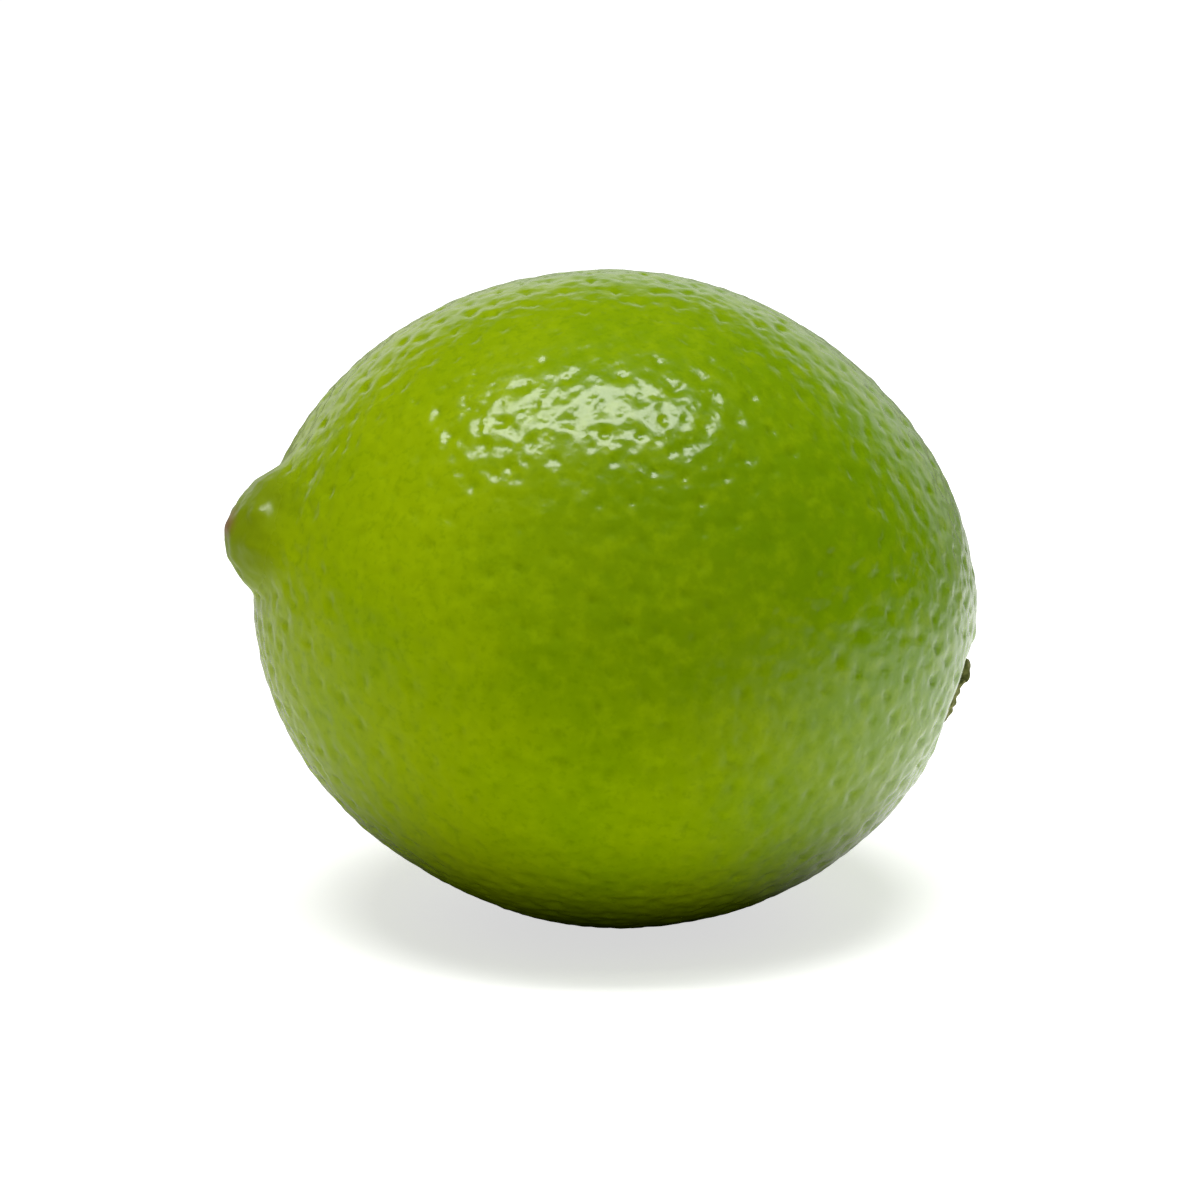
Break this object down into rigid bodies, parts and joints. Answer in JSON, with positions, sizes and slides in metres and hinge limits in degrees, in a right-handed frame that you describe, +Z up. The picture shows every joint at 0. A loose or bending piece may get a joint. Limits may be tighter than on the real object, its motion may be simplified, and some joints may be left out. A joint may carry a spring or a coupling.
{
  "type": "lime",
  "caption": "Whole picked lime, an oval green citrus fruit with a blunt nipple at the blossom end and a dried stem button, lying on its side.",
  "frame": {"origin": "On the surface that the fruit rests on, under the middle of its bounding box.", "axes": "+X runs from the nipple to the stem end, +Z is up as the fruit lies, and +Y completes the right-handed frame. The fruit's own axis lies in the XZ plane, with the nipple end raised by 10.9 degrees."},
  "size_m": [0.0622, 0.054, 0.0539],
  "materials": {
    "peel": "gloss",
    "dried_calyx": "matte"
  },
  "bodies": {
    "root": {"lime_fruit": "peel", "stem_button": "dried_calyx"}
  },
  "joints": []
}
